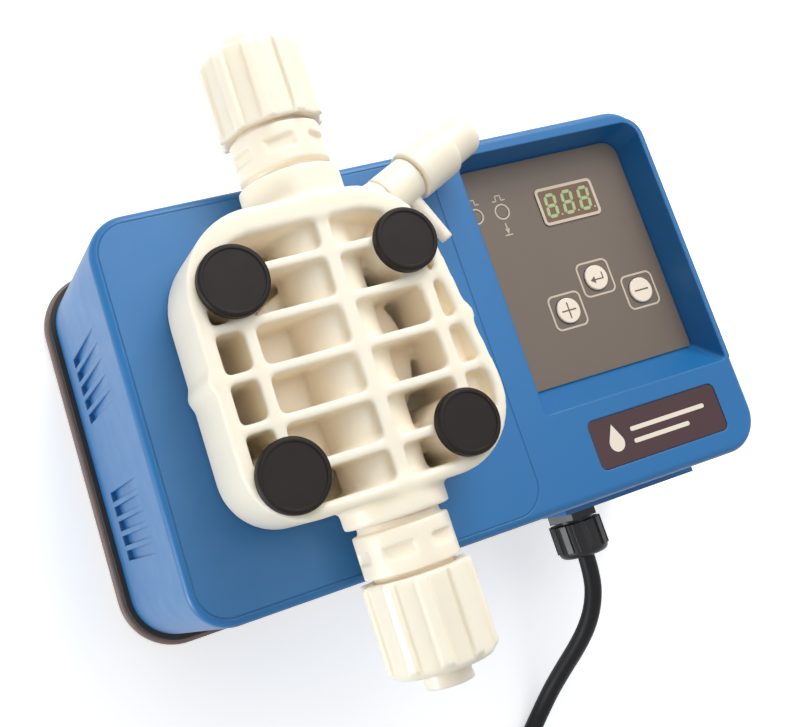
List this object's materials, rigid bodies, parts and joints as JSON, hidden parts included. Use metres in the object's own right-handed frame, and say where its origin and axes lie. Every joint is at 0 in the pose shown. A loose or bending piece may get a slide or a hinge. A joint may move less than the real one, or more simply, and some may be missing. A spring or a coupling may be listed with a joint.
{
  "type": "solenoid diaphragm dosing pump",
  "caption": "Wall-mounted dosing pump: rectangular housing with keypad and display, ribbed pump head with inlet and outlet valves, bleed valve and mains lead.",
  "frame": {"origin": "Centre of the wall plate's rear face, which lies on the wall or table at Z = 0.", "axes": "+Z out of the front, +Y towards the discharge valve, +X towards the control panel."},
  "size_m": [0.2239, 0.3899, 0.1334],
  "materials": {
    "blue_plastic": "satin moulded housing",
    "plate_plastic": "grey-brown moulded wall plate",
    "black_rubber": "soft black seal",
    "natural_plastic": "translucent natural polypropylene",
    "cap_plastic": "black moulded caps",
    "overlay_film": "grey-brown keypad film",
    "window_film": "smoked display window",
    "display_plastic": "display module with green segments",
    "key_plastic": "cream keys",
    "lamp_plastic": "indicator lenses",
    "label_plastic": "dark maroon-brown label",
    "screw_steel": "plated steel",
    "insert_brass": "knurled brass",
    "board_green": "printed circuit board",
    "part_black": "moulded electronic parts",
    "yoke_steel": "magnet steel",
    "coil_plastic": "taped copper winding",
    "membrane_rubber": "coated rubber diaphragm",
    "ball_ceramic": "white ceramic ball",
    "gland_plastic": "black nylon gland",
    "lead_rubber": "black mains lead"
  },
  "bodies": {
    "pump_frame": {"rear_plate": "plate_plastic", "wall_inserts": "insert_brass", "rear_gasket": "black_rubber", "housing_shell": "blue_plastic", "head_panel": "blue_plastic", "rear_screws": "screw_steel", "label_plate": "label_plastic", "control_overlay": "overlay_film", "display_window": "window_film", "display_module": "display_plastic", "indicator_lamps": "lamp_plastic", "control_board": "board_green", "key_switches": "part_black", "power_board": "board_green", "board_screws": "screw_steel", "transformer": "part_black", "capacitors": "part_black", "terminal_block": "part_black", "ribbon_cable": "part_black", "pump_head": "natural_plastic", "screw_caps": "cap_plastic", "head_washers": "screw_steel", "head_screws": "screw_steel", "discharge_valve_body": "natural_plastic", "discharge_seal": "black_rubber", "discharge_hose_stub": "natural_plastic", "suction_valve_body": "natural_plastic", "suction_seal": "black_rubber", "suction_hose_stub": "natural_plastic", "bleed_body": "natural_plastic", "head_bracket": "part_black", "diaphragm": "membrane_rubber", "front_pole": "yoke_steel", "return_spring": "screw_steel", "solenoid_coil": "coil_plastic", "solenoid_yoke": "yoke_steel", "gland_body": "gland_plastic", "gland_locknut": "gland_plastic", "gland_seal": "black_rubber", "gland_nut": "gland_plastic", "inner_lead": "lead_rubber", "power_cord": "lead_rubber", "cord_coil": "lead_rubber", "cord_ties": "gland_plastic", "cord_tail": "lead_rubber", "plug_body": "lead_rubber", "plug_pins": "insert_brass"},
    "plus_key": {"plus_key": "key_plastic"},
    "enter_key": {"enter_key": "key_plastic"},
    "minus_key": {"minus_key": "key_plastic"},
    "bleed_knob": {"bleed_knob": "natural_plastic"},
    "discharge_nut": {"discharge_tube_nut": "natural_plastic"},
    "suction_nut": {"suction_tube_nut": "natural_plastic"},
    "discharge_ball": {"discharge_ball": "ball_ceramic"},
    "suction_ball": {"suction_ball": "ball_ceramic"},
    "plunger": {"push_rod": "screw_steel", "magnet_core": "yoke_steel"}
  },
  "joints": [
    {"name": "plus_press", "type": "slide", "parent": "pump_frame", "child": "plus_key", "axis": [0, 0, -1], "range_m": [0, 0.0004], "stiffness_N_per_m": 900},
    {"name": "enter_press", "type": "slide", "parent": "pump_frame", "child": "enter_key", "axis": [0, 0, -1], "range_m": [0, 0.0004], "stiffness_N_per_m": 900},
    {"name": "minus_press", "type": "slide", "parent": "pump_frame", "child": "minus_key", "axis": [0, 0, -1], "range_m": [0, 0.0004], "stiffness_N_per_m": 900},
    {"name": "bleed_turn", "type": "hinge", "parent": "pump_frame", "child": "bleed_knob", "pos_m": [-0.0414, 0.0332, 0.1135], "axis": [0.9135, 0.4067, 0], "range_deg": [0, 270]},
    {"name": "discharge_nut_turn", "type": "hinge", "parent": "pump_frame", "child": "discharge_nut", "pos_m": [-0.0414, 0.09, 0.1135], "axis": [0, 1, 0], "range_deg": [0, 720]},
    {"name": "suction_nut_turn", "type": "hinge", "parent": "pump_frame", "child": "suction_nut", "pos_m": [-0.0414, -0.08, 0.1135], "axis": [0, -1, 0], "range_deg": [0, 720]},
    {"name": "discharge_ball_lift", "type": "slide", "parent": "pump_frame", "child": "discharge_ball", "axis": [0, 1, 0], "range_m": [0, 0.0015]},
    {"name": "suction_ball_lift", "type": "slide", "parent": "pump_frame", "child": "suction_ball", "axis": [0, 1, 0], "range_m": [0, 0.0015]},
    {"name": "plunger_stroke", "type": "slide", "parent": "pump_frame", "child": "plunger", "axis": [0, 0, 1], "range_m": [0, 0.00125], "stiffness_N_per_m": 2500, "deforming": ["return_spring", "diaphragm"]}
  ]
}
